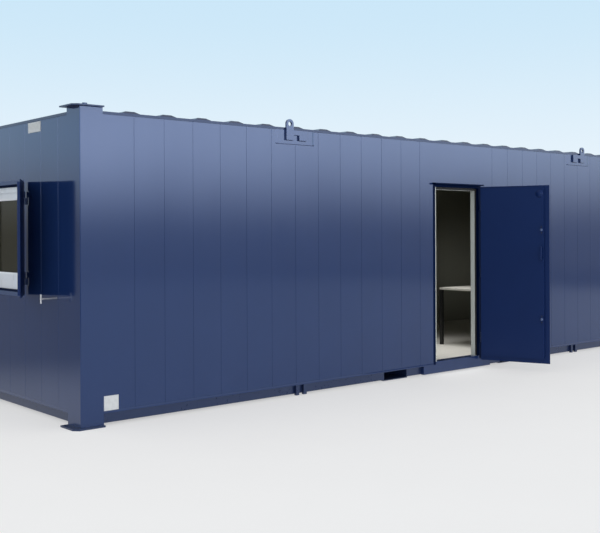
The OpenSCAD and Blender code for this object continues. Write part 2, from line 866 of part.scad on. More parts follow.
module hold_back_bolt() {
    translate([post_w + bolt_inset, wall_set, win_z0 - shutter_lap_v])
        rotate([90, 0, 0]) {
            cylinder(h = bolt_out, r = bolt_r);
            translate([0, bolt_bar / 2, bolt_out - bolt_r])
                rotate([90, 0, 0]) cylinder(h = bolt_bar, r = bolt_r);
        }
}
module hold_back_bolts() {
    color(bare_zinc) at_end_walls() at_both_halves() hold_back_bolt();
}

// Table beside the door
module at_table() {
    translate([frame_x1 + table_gap, room_in + table_set, floor_z]) children();
}
module table_top() {
    color(pale_board) at_table() block([0, 0, table_h - table_t], [table_l, table_w, table_h]);
}
module table_legs() {
    color(steel_dark)
        at_table()
            for (x = [0, table_l - leg_w], y = [0, table_w - leg_w])
                block([x, y, 0], [x + leg_w, y + leg_w, table_h - table_t]);
}

corner_posts();
post_plates();
stacking_pins();
side_base_rails();
end_base_rails();
fork_pocket_floors();
fork_pocket_cheeks();
rail_brackets();
floor_joists();
floor_deck();
floor_covering();
front_wall_left();
front_wall_right();
front_wall_over_door();
back_wall();
left_end_wall();
right_end_wall();
front_lining();
back_lining();
end_linings();
top_rails();
roof_sheet();
ceiling_panel();
lug_doublers();
lifting_lugs();
door_sill();
door_frame();
door_inner_frame();
door_rain_strip();
hinge_seats();
door_leaf();
door_hinge_straps();
door_bolt_cover();
door_locks();
door_pulls();
window_surrounds();
window_frames();
window_glass();
left_shutter_front();
left_shutter_back();
right_shutters();
right_shutter_seats();
hold_back_bolts();
table_top();
table_legs();
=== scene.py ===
"""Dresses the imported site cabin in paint, boards, glass, seals and welds, and lights it."""

import json
import math

import bpy
from mathutils import Matrix, Vector


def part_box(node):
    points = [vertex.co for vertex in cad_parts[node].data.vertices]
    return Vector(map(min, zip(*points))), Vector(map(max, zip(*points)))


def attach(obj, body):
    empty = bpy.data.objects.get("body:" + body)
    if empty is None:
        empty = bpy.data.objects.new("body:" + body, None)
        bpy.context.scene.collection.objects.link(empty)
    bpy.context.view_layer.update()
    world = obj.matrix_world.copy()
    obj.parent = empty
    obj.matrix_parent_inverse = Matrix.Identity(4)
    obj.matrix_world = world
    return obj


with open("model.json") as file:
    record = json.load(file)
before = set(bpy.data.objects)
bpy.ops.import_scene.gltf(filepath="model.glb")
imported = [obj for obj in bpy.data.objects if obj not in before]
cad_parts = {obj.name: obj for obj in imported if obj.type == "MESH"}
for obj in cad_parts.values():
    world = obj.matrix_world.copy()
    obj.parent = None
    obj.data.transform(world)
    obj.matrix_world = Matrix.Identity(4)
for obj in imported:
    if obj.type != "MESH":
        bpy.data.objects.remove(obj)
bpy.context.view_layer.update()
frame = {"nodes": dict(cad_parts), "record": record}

bl_info = {
    "name": "Site Cabin Dressing",
    "version": (1, 0, 0),
    "blender": (4, 5, 0),
    "location": "View3D > Sidebar > Cabin",
    "description": "Paints the site cabin and adds its seals, welds, screws, plates and stage",
    "category": "Object",
}

PHOTO_WIDTH = 600
SENSOR_WIDTH = 36
VIEW_REACH = 300
X_AXIS, Y_AXIS = 0, 1
INWARD = Vector((0, 1, 0))
OUT_FRONT = Vector((0, -1, 0))
OUT_LEFT = Vector((-1, 0, 0))
UP = Vector((0, 0, 1))


def node_slots():
    """The record's material slot of each CAD node."""
    return {part["node"]: part["material_slot"] for part in frame["record"]["subparts"]}


def joint_turn(name):
    """The turn about a hinge that takes its shut leaf to the open place."""
    row = next(row for row in frame["record"]["behaviour"]["joints"] if row["name"] == name)
    axis = Vector(row["pos_m"])
    turn = Matrix.Rotation(math.radians(-row["range_deg"][0]), 4, Vector(row["axis"]))
    return Matrix.Translation(axis) @ turn @ Matrix.Translation(-axis)


def shut_box(node, turn):
    """The box of a leaf's node as it lies when the leaf is shut."""
    shut = turn.inverted()
    points = [shut @ point.co for point in frame["nodes"][node].data.vertices]
    low = Vector([min(point[i] for point in points) for i in range(3)])
    high = Vector([max(point[i] for point in points) for i in range(3)])
    return low, high


CABIN_LOW, CABIN_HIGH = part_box("roof_sheet")
CABIN_MID = (CABIN_LOW + CABIN_HIGH) / 2
# The boxes of the walls end at the drip fold, which stands this far in front of their faces
DRIP_OUT = 0.006
FACE_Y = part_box("front_wall_left")[0].y + DRIP_OUT
FACE_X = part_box("left_end_wall")[0].x + DRIP_OUT
DOOR_TURN = joint_turn("door_hinge")


# Sizes and colours


class CabinFinish(bpy.types.PropertyGroup):
    """Colours of the cabin's paint, boards and fittings"""

    navy: bpy.props.FloatVectorProperty(
        name="Navy",
        description="Paint of the walls and posts",
        subtype="COLOR",
        default=(0.009, 0.025, 0.094),
    )
    rail_navy: bpy.props.FloatVectorProperty(
        name="Rail navy",
        description="Paint of the base frame and trim",
        subtype="COLOR",
        default=(0.008, 0.017, 0.060),
    )
    door_navy: bpy.props.FloatVectorProperty(
        name="Door navy",
        description="Paint of the door leaf",
        subtype="COLOR",
        default=(0.006, 0.019, 0.086),
    )
    # Darker and duller than the walls: painted shade that stands in for the shade in the recesses
    # of the door frame and window surrounds
    shade_dark_trim_navy: bpy.props.FloatVectorProperty(
        name="Trim navy",
        description="Dull paint of the door frame and window surrounds",
        subtype="COLOR",
        default=(0.0004, 0.006, 0.034),
    )
    dust: bpy.props.FloatVectorProperty(
        name="Dust",
        description="Dust on the foot of the walls",
        subtype="COLOR",
        default=(0.10, 0.11, 0.14),
    )
    zinc: bpy.props.FloatVectorProperty(
        name="Zinc",
        description="Bare zinc of the bolts and screws",
        subtype="COLOR",
        default=(0.60, 0.61, 0.63),
    )
    plastic: bpy.props.FloatVectorProperty(
        name="White plastic",
        description="Window frames",
        subtype="COLOR",
        default=(0.74, 0.77, 0.82),
    )
    lining: bpy.props.FloatVectorProperty(
        name="Lining",
        description="Boards inside the cabin",
        subtype="COLOR",
        default=(0.34, 0.34, 0.28),
    )
    timber: bpy.props.FloatVectorProperty(
        name="Inner frame",
        description="Painted timber in the doorway",
        subtype="COLOR",
        default=(0.54, 0.57, 0.54),
    )
    plywood: bpy.props.FloatVectorProperty(
        name="Plywood", description="Floor deck", subtype="COLOR", default=(0.36, 0.24, 0.13)
    )
    vinyl: bpy.props.FloatVectorProperty(
        name="Vinyl", description="Floor covering", subtype="COLOR", default=(0.74, 0.72, 0.66)
    )
    # Dark olive: partly the glass's own tint, partly a painted reflection of the dark trees that
    # the glass mirrors
    glass: bpy.props.FloatVectorProperty(
        name="Glass",
        description="Tint of the window glass",
        subtype="COLOR",
        default=(0.30, 0.29, 0.20),
    )
    rubber: bpy.props.FloatVectorProperty(
        name="Rubber",
        description="Seals and gaskets",
        subtype="COLOR",
        default=(0.012, 0.012, 0.013),
    )
    table: bpy.props.FloatVectorProperty(
        name="Table board",
        description="Faced table top",
        subtype="COLOR",
        default=(0.66, 0.64, 0.58),
    )
    plate: bpy.props.FloatVectorProperty(
        name="Bare plate",
        description="Blank plates on the walls",
        subtype="COLOR",
        default=(0.61, 0.63, 0.64),
    )
    sheen: bpy.props.FloatVectorProperty(
        name="Sheen",
        description="Tint of what the navy paint mirrors",
        subtype="COLOR",
        default=(0.56, 0.69, 1.0),
    )


class CabinTrim(bpy.types.PropertyGroup):
    """Sizes of the seals, welds, screws and plates"""

    plate_thick: bpy.props.FloatProperty(
        name="Plate thickness",
        description="Thickness of a bare plate",
        unit="LENGTH",
        default=0.003,
    )
    gasket_depth: bpy.props.FloatProperty(
        name="Door gasket",
        description="Thickness of the rubber in the doorway",
        unit="LENGTH",
        default=0.005,
    )
    tape_thick: bpy.props.FloatProperty(
        name="Seal tape",
        description="Thickness of the tape that the shutters close on",
        unit="LENGTH",
        default=0.0015,
    )
    bead_width: bpy.props.FloatProperty(
        name="Bead width", description="Width of a glazing bead", unit="LENGTH", default=0.016
    )
    gasket_width: bpy.props.FloatProperty(
        name="Gasket width",
        description="Width of the rubber between bead and glass",
        unit="LENGTH",
        default=0.005,
    )
    weld_radius: bpy.props.FloatProperty(
        name="Weld radius", description="Radius of a weld bead", unit="LENGTH", default=0.005
    )
    screw_radius: bpy.props.FloatProperty(
        name="Screw radius", description="Radius of a screw head", unit="LENGTH", default=0.006
    )


class CabinStage(bpy.types.PropertyGroup):
    """Floor, sky light, lamps and camera"""

    floor: bpy.props.FloatVectorProperty(
        name="Floor",
        description="Colour of the pale floor",
        subtype="COLOR",
        default=(0.94, 0.94, 0.94),
    )
    # Painted shade: the grey floor away from the front stands in for shaded ground and darkens what
    # the walls mirror
    shaded_far_floor: bpy.props.FloatVectorProperty(
        name="Far floor",
        description="Colour of the floor away from the cabin",
        subtype="COLOR",
        default=(0.32, 0.325, 0.34),
    )
    sky_top: bpy.props.FloatVectorProperty(
        name="Sky",
        description="Backdrop above the cabin",
        subtype="COLOR",
        default=(0.60, 0.80, 0.945),
    )
    sky_low: bpy.props.FloatVectorProperty(
        name="Haze",
        description="Backdrop behind the cabin",
        subtype="COLOR",
        default=(0.84, 0.92, 0.98),
    )
    front_light: bpy.props.FloatProperty(
        name="Front light", description="Strength of the low sky in front of the cabin", default=5.2
    )
    side_light: bpy.props.FloatProperty(
        name="Side light", description="Strength of the low sky at the other sides", default=1.38
    )
    left_light: bpy.props.FloatProperty(
        name="Left light", description="Strength added to the low sky at the left end", default=0.2
    )
    top_light: bpy.props.FloatProperty(
        name="Top light", description="Strength of the high sky", default=0.8
    )
    room_light: bpy.props.FloatProperty(
        name="Room light",
        description="Power of the lamp over the floor at the doorway",
        subtype="POWER",
        default=8.0,
    )
    focal_pixels: bpy.props.FloatProperty(
        name="Focal length", description="Focal length in pixels of the photo", default=931.1
    )
    camera_place: bpy.props.FloatVectorProperty(
        name="Camera",
        description="Place of the camera",
        subtype="TRANSLATION",
        default=(-3.676, -7.101, 1.664),
    )
    heading: bpy.props.FloatProperty(
        name="Heading",
        description="Turn of the camera from the cabin's depth",
        subtype="ANGLE",
        default=math.radians(40.66),
    )
    roll: bpy.props.FloatProperty(
        name="Roll", description="Roll of the camera", subtype="ANGLE", default=math.radians(-0.25)
    )
    horizon_rise: bpy.props.FloatProperty(
        name="Horizon rise",
        description="Pixels from the middle of the photo up to the horizon",
        default=36.2,
    )


# Shader maths

SEEN_RAYS = ("Is Camera Ray", "Is Glossy Ray", "Is Transmission Ray")
# Sockets of a colour Mix node, by number because their names repeat
MIX_SHARE, MIX_FIRST, MIX_SECOND, MIX_RESULT = 0, 6, 7, 2


class Value:
    """A node's output that takes part in sums, each of which adds a Math node."""

    def __init__(self, finish, socket):
        self.finish = finish
        self.socket = socket

    def __add__(self, other):
        return self.finish.math("ADD", self, other)

    def __sub__(self, other):
        return self.finish.math("SUBTRACT", self, other)

    def __rsub__(self, other):
        return self.finish.math("SUBTRACT", other, self)

    def __mul__(self, other):
        return self.finish.math("MULTIPLY", self, other)

    def __truediv__(self, other):
        return self.finish.math("DIVIDE", self, other)

    __radd__ = __add__
    __rmul__ = __mul__


class Finish:
    """The node tree of one material or of the world."""

    def __init__(self, tree):
        self.tree = tree
        tree.nodes.clear()

    def node(self, kind, settings=None, inputs=None, output=0):
        """Adds a node, sets it up, feeds its sockets and gives one of its outputs, if any."""
        node = self.tree.nodes.new(kind)
        for name, value in (settings or {}).items():
            setattr(node, name, value)
        for key, value in (inputs or {}).items():
            if isinstance(value, Value):
                self.tree.links.new(value.socket, node.inputs[key])
            else:
                node.inputs[key].default_value = value
        return Value(self, node.outputs[output]) if node.outputs else None

    def math(self, operation, *values):
        """A Math node fed with one or two values."""
        return self.node("ShaderNodeMath", {"operation": operation}, dict(enumerate(values)))

    def place(self):
        """The point on the piece, in the cabin's own frame."""
        return self.node("ShaderNodeTexCoord", output="Object")

    def axes(self, vector):
        """The three parts of a vector."""
        parts = self.node("ShaderNodeSeparateXYZ", inputs={0: vector}).socket.node.outputs
        return [Value(self, part) for part in parts]

    def reach(self, first, second):
        """The length of a vector with two parts."""
        return self.math("SQRT", first * first + second * second)

    def stretch(self, vector, scale):
        """A vector scaled along each axis."""
        return self.node("ShaderNodeMapping", inputs={"Vector": vector, "Scale": scale})

    def noise(self, vector, scale, detail=3.0, rough=0.55):
        """Soft noise from 0 to 1."""
        return self.node(
            "ShaderNodeTexNoise",
            inputs={"Vector": vector, "Scale": scale, "Detail": detail, "Roughness": rough},
        )

    def cells(self, vector, scale):
        """Cells, each with its own grey from 0 to 1."""
        inputs = {"Vector": vector, "Scale": scale}
        colour = self.node("ShaderNodeTexVoronoi", inputs=inputs, output="Color")
        return self.node("ShaderNodeRGBToBW", inputs={0: colour})

    def fade(self, value, low, high):
        """A smooth step from 0 at low to 1 at high."""
        return self.node(
            "ShaderNodeMapRange",
            {"interpolation_type": "SMOOTHSTEP"},
            {"Value": value, "From Min": low, "From Max": high, "To Min": 0.0, "To Max": 1.0},
        )

    def blend(self, share, first, second):
        """A colour between two."""
        inputs = {MIX_SHARE: share, MIX_FIRST: first, MIX_SECOND: second}
        return self.node("ShaderNodeMix", {"data_type": "RGBA"}, inputs, MIX_RESULT)

    def shade(self, share, colour, first, second):
        """A colour that goes from one strength to another."""
        return self.blend(share, opaque(tint(colour, first)), opaque(tint(colour, second)))

    def mix(self, share, first, second):
        """A shader between two."""
        return self.node("ShaderNodeMixShader", inputs={0: share, 1: first, 2: second})

    def relief(self, height):
        """The normal of a surface whose height is given in metres."""
        inputs = {"Strength": 1.0, "Distance": 1.0, "Height": height}
        return self.node("ShaderNodeBump", inputs=inputs)

    def seen_ray(self):
        """1 for a ray from the camera, a mirroring surface or glass, 0 for a ray of soft light."""
        camera, glossy, through = (
            self.node("ShaderNodeLightPath", output=name) for name in SEEN_RAYS
        )
        return self.math("MAXIMUM", camera, self.math("MAXIMUM", glossy, through))

    def surface(self, **sockets):
        """Ends the tree with one Principled shader."""
        inputs = {name.replace("_", " "): value for name, value in sockets.items()}
        shader = self.node("ShaderNodeBsdfPrincipled", inputs=inputs)
        self.node_out("ShaderNodeOutputMaterial", shader)

    def node_out(self, kind, shader):
        """Joins a shader to the tree's output."""
        self.node(kind, inputs={0: shader})


def opaque(colour):
    """A colour as the four numbers that a socket takes."""
    return (*colour, 1.0)


def tint(colour, factor):
    """A colour made lighter or darker."""
    return tuple(min(1.0, part * factor) for part in colour)


def new_finish(name):
    """A material with an empty node tree."""
    material = bpy.data.materials.new(name)
    material.use_nodes = True
    return material, Finish(material.node_tree)


# Finishes

# A sheet longer than the cabin, so that no joint shows
UNBROKEN = 60.0
SHEET_SHIFT = 0.35
TABLE_STEEL = (0.012, 0.012, 0.013)


def navy_paint(name, colour, dust, rough, sheen=(1.0, 1.0, 1.0), index=1.5, level=0.5):
    """Paint on sheet steel, with soft waves, rain streaks and dust at its foot."""
    wave_depth, peel_depth, dust_share = 0.004, 0.000012, 0.05
    material, finish = new_finish(name)
    place = finish.place()
    _, _, height = finish.axes(place)
    mottle = finish.noise(place, scale=2.3, detail=4.0)
    streak = finish.noise(finish.stretch(place, (9.0, 9.0, 0.5)), scale=1.0, detail=4.0)
    scuff = finish.noise(place, scale=34.0, detail=5.0, rough=0.65)
    waves = finish.noise(finish.stretch(place, (1.3, 1.3, 0.5)), scale=1.0, detail=1.0)
    peel = finish.noise(place, scale=420.0, detail=1.0)
    near_foot = 1.0 - finish.fade(height, low=0.05, high=0.6)
    film = near_foot * finish.fade(scuff + mottle, low=0.6, high=1.6)
    paint = finish.shade(mottle, colour, 0.92, 1.08)
    finish.surface(
        Base_Color=finish.blend(film * dust_share, paint, opaque(dust)),
        Roughness=rough + streak * 0.05 + film * 0.08,
        Normal=finish.relief(waves * wave_depth + peel * peel_depth),
        IOR=index,
        Specular_IOR_Level=level,
        Specular_Tint=opaque(sheen),
    )
    return material


def zinc_coat(name, colour):
    """Bare zinc with its crystals."""
    material, finish = new_finish(name)
    place = finish.place()
    crystals = finish.cells(place, scale=260.0)
    stain = finish.noise(place, scale=40.0)
    finish.surface(
        Base_Color=finish.shade(crystals, colour, 0.82, 1.1),
        Metallic=1.0,
        Roughness=0.32 + stain * 0.25,
    )
    return material


def white_plastic(name, colour):
    """Window plastic with faint grime in streaks."""
    grain_depth = 0.000008
    material, finish = new_finish(name)
    place = finish.place()
    streak = finish.noise(finish.stretch(place, (14.0, 14.0, 1.5)), scale=1.0, detail=4.0)
    grain = finish.noise(place, scale=900.0, detail=1.0)
    finish.surface(
        Base_Color=finish.shade(finish.fade(streak, low=0.45, high=0.9), colour, 1.0, 0.78),
        Roughness=0.28 + streak * 0.15,
        Normal=finish.relief(grain * grain_depth),
    )
    return material


def faced_board(name, colour, sheet_length=1.2):
    """Pale faced board with fine texture and joints between sheets."""
    grain_depth, seam_depth, seam_share = 0.00006, 0.0006, 0.55
    material, finish = new_finish(name)
    place = finish.place()
    x, _, _ = finish.axes(place)
    cloud = finish.noise(place, scale=1.9, detail=3.0)
    grain = finish.noise(place, scale=320.0, detail=2.0)
    from_joint = finish.math("PINGPONG", x + SHEET_SHIFT, sheet_length / 2)
    seam = 1.0 - finish.fade(from_joint, low=0.0015, high=0.004)
    board = finish.shade(cloud, colour, 0.94, 1.05)
    finish.surface(
        Base_Color=finish.blend(seam * seam_share, board, opaque(tint(colour, 0.5))),
        Roughness=0.5 + grain * 0.15,
        Normal=finish.relief(grain * grain_depth - seam * seam_depth),
    )
    return material


def wood_ply(name, colour):
    """Plywood with long grain."""
    grain_depth = 0.0003
    material, finish = new_finish(name)
    along = finish.stretch(finish.place(), (1.5, 30.0, 30.0))
    grain = finish.noise(along, scale=2.0, detail=6.0, rough=0.6)
    finish.surface(
        Base_Color=finish.shade(grain, colour, 0.65, 1.3),
        Roughness=0.65 + grain * 0.2,
        Normal=finish.relief(grain * grain_depth),
    )
    return material


def speckled_vinyl(name, colour):
    """Vinyl sheet with fine chips and dull tracks."""
    material, finish = new_finish(name)
    place = finish.place()
    chips = finish.cells(place, scale=190.0)
    track = finish.noise(finish.stretch(place, (0.9, 2.2, 1.0)), scale=2.0, detail=4.0)
    finish.surface(
        Base_Color=finish.shade(chips * 0.55 + track * 0.3, colour, 1.12, 0.72),
        Roughness=0.38 + track * 0.25,
    )
    return material


def window_glass(name, colour):
    """Tinted glass with a little grime; the dark olive tint is partly the glass's own and partly a
    painted reflection of dark trees.
    """
    material, finish = new_finish(name)
    runs = finish.stretch(finish.place(), (6.0, 6.0, 1.4))
    grime = finish.noise(runs, scale=1.0, detail=5.0)
    finish.surface(
        Base_Color=finish.shade(grime * 0.3, colour, 1.0, 0.8),
        Roughness=0.015 + grime * 0.03,
        Transmission_Weight=0.92,
        IOR=1.2,
        Specular_IOR_Level=0.1,
    )
    return material


def seal_rubber(name, colour):
    """Matt black rubber."""
    bloom_depth = 0.0002
    material, finish = new_finish(name)
    bloom = finish.noise(finish.place(), scale=60.0, detail=4.0)
    finish.surface(
        Base_Color=finish.shade(bloom, colour, 1.0, 2.2),
        Roughness=0.62 + bloom * 0.2,
        Normal=finish.relief(bloom * bloom_depth),
    )
    return material


def bare_plate(name, colour):
    """A blank painted plate with weather marks."""
    mark_depth = 0.0002
    material, finish = new_finish(name)
    weather = finish.noise(finish.place(), scale=38.0, detail=4.0)
    finish.surface(
        Base_Color=finish.shade(finish.fade(weather, low=0.4, high=0.8), colour, 1.0, 0.86),
        Roughness=0.4 + weather * 0.2,
        Normal=finish.relief(weather * mark_depth),
    )
    return material


def painted_weld(name, colour, worn):
    """Paint over a weld bead, with the ripples of the weld."""
    ripple_depth, wander_depth = 0.0004, 0.0006
    material, finish = new_finish(name)
    place = finish.place()
    x, _, z = finish.axes(place)
    wander = finish.noise(place, scale=90.0, detail=2.0)
    ripple = finish.math("SINE", (x + z) * 1100.0 + wander * 5.0)
    finish.surface(
        Base_Color=finish.blend(wander * 0.4, opaque(colour), opaque(worn)),
        Roughness=0.3 + wander * 0.15,
        Normal=finish.relief(ripple * ripple_depth + wander * wander_depth),
    )
    return material


def make_finishes(colours):
    """One material for each of the record's slots, and those of the new pieces."""
    dust, sheen = colours.dust, colours.sheen
    return {
        "wall_paint": navy_paint(
            "wall_paint", colours.navy, dust, rough=0.08, sheen=sheen, index=1.7, level=0.5
        ),
        "frame_paint": navy_paint(
            "frame_paint", colours.rail_navy, dust, rough=0.24, sheen=sheen, index=1.6, level=0.55
        ),
        "door_paint": navy_paint(
            "door_paint", colours.door_navy, dust, rough=0.3, sheen=sheen, index=1.5, level=0.2
        ),
        # trim_paint: near-black dull navy, painted shade for the recessed door frame, window
        # surrounds and shutter tapes
        "trim_paint": navy_paint(
            "trim_paint", colours.shade_dark_trim_navy, dust, rough=0.5, sheen=sheen, index=1.3, level=0.1
        ),
        "zinc": zinc_coat("zinc", colours.zinc),
        "white_plastic": white_plastic("white_plastic", colours.plastic),
        "lining_board": faced_board("lining_board", colours.lining),
        "inner_frame": faced_board("inner_frame", colours.timber, UNBROKEN),
        "floor_board": wood_ply("floor_board", colours.plywood),
        "floor_vinyl": speckled_vinyl("floor_vinyl", colours.vinyl),
        "glass": window_glass("glass", colours.glass),
        "table_board": faced_board("table_board", colours.table, UNBROKEN),
        "table_steel": navy_paint("table_steel", TABLE_STEEL, dust, rough=0.35),
        "rubber": seal_rubber("rubber", colours.rubber),
        "bare_plate": bare_plate("bare_plate", colours.plate),
        "weld": painted_weld("weld", colours.navy, tint(colours.navy, 1.6)),
    }


# Modelling helpers

ALIGNED = 0.9
SOFT_ANGLE = math.radians(35)


def bake_place():
    """Puts the place of the piece in hand into its mesh."""
    bpy.ops.object.transform_apply(location=True, rotation=True, scale=True)


def start(name):
    """Names the primitive that was just added and puts its place in its mesh."""
    piece = bpy.context.object
    piece.name = name
    piece.data.name = name
    bake_place()
    return piece


def start_block(name, low, high):
    """Adds a cube between two corners."""
    low, high = Vector(low), Vector(high)
    bpy.ops.object.select_all(action="DESELECT")
    bpy.ops.mesh.primitive_cube_add(size=1, location=(low + high) / 2, scale=high - low)
    return start(name)


def start_rod(name, first, second, radius, sides):
    """Adds a cylinder between two points."""
    first, second = Vector(first), Vector(second)
    bpy.ops.object.select_all(action="DESELECT")
    bpy.ops.mesh.primitive_cylinder_add(
        vertices=sides,
        radius=radius,
        depth=(second - first).length,
        location=(first + second) / 2,
        rotation=UP.rotation_difference(second - first).to_euler(),
    )
    return start(name)


def clear_pick(kind):
    """Deselects the faces or edges of the piece in hand."""
    bpy.ops.object.mode_set(mode="EDIT")
    bpy.ops.mesh.select_mode(type=kind)
    bpy.ops.mesh.select_all(action="DESELECT")
    bpy.ops.object.mode_set(mode="OBJECT")


def pick_faces(piece, wanted):
    """Selects the faces that pass a test, in edit mode."""
    clear_pick("FACE")
    for face in piece.data.polygons:
        face.select = wanted(face)
    bpy.ops.object.mode_set(mode="EDIT")


def pick_edges(piece, wanted):
    """Selects the edges whose two ends pass a test, in edit mode."""
    clear_pick("EDGE")
    points = piece.data.vertices
    for edge in piece.data.edges:
        edge.select = all(wanted(points[i].co) for i in edge.vertices)
    bpy.ops.object.mode_set(mode="EDIT")


def pick_all():
    """Selects the whole mesh of the piece in hand, in edit mode."""
    bpy.ops.object.mode_set(mode="EDIT")
    bpy.ops.mesh.select_all(action="SELECT")


def leave_edit():
    """Goes back to object mode."""
    bpy.ops.object.mode_set(mode="OBJECT")


def facing(direction):
    """A test for faces that look along a direction."""
    return lambda face: face.normal.dot(direction) > ALIGNED


def raise_face(move):
    """Pulls the selected faces out by a vector, with walls behind them."""
    bpy.ops.mesh.extrude_region_move(TRANSFORM_OT_translate={"value": move})


def soften(offset, segments=2):
    """Bevels every edge of the piece in hand."""
    pick_all()
    bpy.ops.mesh.bevel(offset=offset, segments=segments, affect="EDGES")
    leave_edit()


def take_up(piece):
    """Makes one piece the active one and the only one selected."""
    bpy.ops.object.select_all(action="DESELECT")
    bpy.context.view_layer.objects.active = piece
    piece.select_set(True)


def copy_piece(piece, name, matrix):
    """A copy with its own mesh, moved by a matrix."""
    twin = piece.copy()
    twin.data = piece.data.copy()
    twin.name = name
    bpy.context.collection.objects.link(twin)
    twin.matrix_world = matrix
    take_up(twin)
    bake_place()
    if matrix.determinant() < 0:
        pick_all()
        bpy.ops.mesh.normals_make_consistent(inside=False)
        leave_edit()
    return twin


def join(pieces, name):
    """One piece made of several."""
    bpy.ops.object.select_all(action="DESELECT")
    for piece in pieces:
        piece.select_set(True)
    bpy.context.view_layer.objects.active = pieces[0]
    bpy.ops.object.join()
    whole = bpy.context.object
    whole.name = name
    whole.data.name = name
    return whole


def fit(piece, body, material):
    """Smooths a finished piece and gives it its body and its material."""
    take_up(piece)
    bpy.ops.object.shade_smooth_by_angle(angle=SOFT_ANGLE)
    piece.data.materials.clear()
    piece.data.materials.append(bpy.data.materials[material])
    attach(piece, body)


def screw_head(name, spot, out, radius):
    """A washer with a rounded head on it."""
    washer_thick, washer_radius = radius * 0.25, radius * 1.5
    ledge, height, crown_inset, crown = radius * 0.55, radius * 0.5, radius * 0.3, radius * 0.2
    washer = start_rod(name, spot, spot + out * washer_thick, washer_radius, sides=18)
    pick_faces(washer, facing(out))
    bpy.ops.mesh.inset(thickness=ledge)
    raise_face(out * height)
    bpy.ops.mesh.inset(thickness=crown_inset)
    bpy.ops.transform.translate(value=out * crown)
    leave_edit()
    return washer


def mirror_at(axis, place):
    """A mirror across the plane at a place on one axis."""
    scale = Vector((1, 1, 1))
    scale[axis] = -1
    shift = Vector((0, 0, 0))
    shift[axis] = 2 * place
    return Matrix.Translation(shift) @ Matrix.Diagonal((*scale, 1))


# Operators


class CABIN_OT_finishes(bpy.types.Operator):
    """Makes the materials and puts each on the CAD nodes of its slot"""

    bl_idname = "cabin.finishes"
    bl_label = "Paint and Boards"

    def execute(self, context):
        finishes = make_finishes(context.scene.cabin_finish)
        for node, slot in node_slots().items():
            slots = frame["nodes"][node].data.materials
            slots.clear()
            slots.append(finishes[slot])
        return {"FINISHED"}


FRONT_PLATE_X, FRONT_PLATE_Z = (0.219, 0.360), (0.131, 0.257)
END_PLATE_Y, END_PLATE_Z = (0.756, 1.012), (2.564, 2.656)
PLATE_RIM, PLATE_DISH, PLATE_ROUNDING = 0.006, 0.3, 0.12
RIVET_RADIUS, RIVET_INSET, RIVET_SUNK = 0.0045, 0.016, 0.001


class CABIN_OT_bare_plates(bpy.types.Operator):
    """Adds the two blank plates, one on the end wall and one at the foot of the front"""

    bl_idname = "cabin.bare_plates"
    bl_label = "Bare Plates"

    def rivet(self, name, spot, out):
        """A domed rivet head."""
        bpy.ops.object.select_all(action="DESELECT")
        bpy.ops.mesh.primitive_uv_sphere_add(
            segments=14, ring_count=8, radius=RIVET_RADIUS, location=spot
        )
        head = start(name)
        pick_all()
        bpy.ops.mesh.bisect(
            plane_co=spot - out * RIVET_SUNK, plane_no=out, clear_inner=True, use_fill=True
        )
        leave_edit()
        return head

    def plate(self, name, low, high, out, thick):
        """A rimmed plate with a rivet in each corner."""
        piece = start_block(name, low, high)
        pick_faces(piece, facing(out))
        bpy.ops.mesh.inset(thickness=PLATE_RIM, depth=-thick * PLATE_DISH)
        leave_edit()
        soften(thick * PLATE_ROUNDING, 1)
        middle = (Vector(low) + Vector(high)) / 2
        reach = (Vector(high) - Vector(low)) / 2
        face = middle + out * thick / 2
        side = out.cross(UP) * (max(reach.x, reach.y) - RIVET_INSET)
        rise = UP * (reach.z - RIVET_INSET)
        spots = [face + side * across + rise * up for across in (-1, 1) for up in (-1, 1)]
        rivets = [self.rivet(name + "_rivet", spot, out) for spot in spots]
        fit(join([piece, *rivets], name), "cabin", "bare_plate")

    def execute(self, context):
        thick = context.scene.cabin_trim.plate_thick
        (x0, x1), (z0, z1) = FRONT_PLATE_X, FRONT_PLATE_Z
        low, high = (x0, FACE_Y - thick, z0), (x1, FACE_Y, z1)
        self.plate("front_bare_plate", low, high, OUT_FRONT, thick)
        (y0, y1), (z0, z1) = END_PLATE_Y, END_PLATE_Z
        low, high = (FACE_X - thick, y0, z0), (FACE_X, y1, z1)
        self.plate("end_bare_plate", low, high, OUT_LEFT, thick)
        return {"FINISHED"}


JAMB_WIDTH, STOP_WIDTH, STRIP_WIDTH = 0.042, 0.030, 0.016
GASKET_GAP, GASKET_FOOT_GAP = 0.002, 0.004
LIP_INSET, LIP_HEIGHT, LIP_ROUNDING = 0.007, 0.0015, 0.0006


